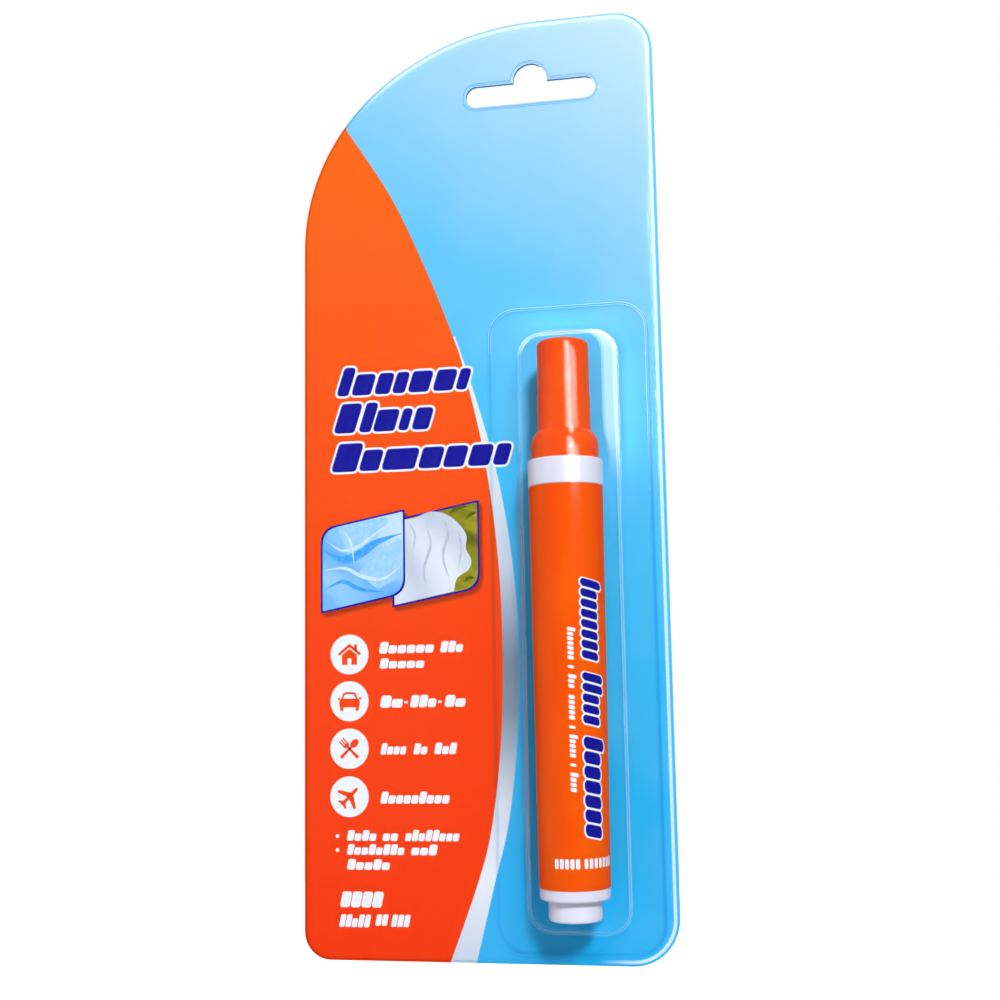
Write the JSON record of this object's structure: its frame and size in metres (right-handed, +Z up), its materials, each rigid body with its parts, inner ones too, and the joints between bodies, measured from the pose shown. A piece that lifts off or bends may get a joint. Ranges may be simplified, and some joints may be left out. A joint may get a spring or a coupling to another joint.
{
  "type": "stain remover pen",
  "caption": "Capped stain remover pen with a spring valve behind its fibre nib, sealed under a clear blister on a printed hanging card.",
  "frame": {"origin": "seat of the display hook: the top of the hang slot's hump, in the middle of the slot, on the back face of the card", "axes": "+Z up the card as it hangs, +Y out of the card's back, +X to the right as the front is seen; the front faces -Y"},
  "size_m": [0.082, 0.0188, 0.21],
  "materials": {
    "card_print": "satin",
    "clear_sheet": "gloss",
    "white_plastic": "satin",
    "label_film": "gloss",
    "orange_plastic": "gloss",
    "liner_plastic": "satin",
    "nib_fibre": "matte",
    "valve_plastic": "satin",
    "seal_rubber": "matte",
    "spring_wire": "satin",
    "liquid": "gloss"
  },
  "bodies": {
    "card": {"printed_card": "card_print"},
    "blister": {"blister_shell": "clear_sheet"},
    "pen": {"barrel": "white_plastic", "label_sleeve": "label_film", "end_plug": "white_plastic", "front_section": "white_plastic", "nib_holder": "white_plastic", "valve_seat": "valve_plastic", "valve_washer": "seal_rubber", "valve_basket": "valve_plastic", "valve_spring": "spring_wire", "cleaning_fluid": "liquid"},
    "cap": {"cap": "orange_plastic", "cap_liner": "liner_plastic"},
    "nib": {"nib": "nib_fibre", "valve_stem": "valve_plastic"}
  },
  "joints": [
    {"name": "blister_peel", "type": "hinge", "parent": "card", "child": "blister", "pos_m": [0, -0.0008, -0.2], "axis": [1, 0, 0], "range_deg": [0, 110]},
    {"name": "pen_lift", "type": "slide", "parent": "card", "child": "pen", "axis": [0, -1, 0], "range_m": [0, 0.024]},
    {"name": "cap_pull", "type": "slide", "parent": "pen", "child": "cap", "axis": [0, 0, 1], "range_m": [0, 0.032]},
    {"name": "nib_press", "type": "slide", "parent": "pen", "child": "nib", "axis": [0, 0, -1], "range_m": [0, 0.0015], "stiffness_N_per_m": 400, "springref_m": -0.0015, "deforming": ["valve_spring"]}
  ],
  "couplings": [
    {"joint": "pen_lift", "follows": "blister_peel", "m_per_rad": 0.0115},
    {"joint": "cap_pull", "follows": "blister_peel", "m_per_rad": 0.0156}
  ]
}
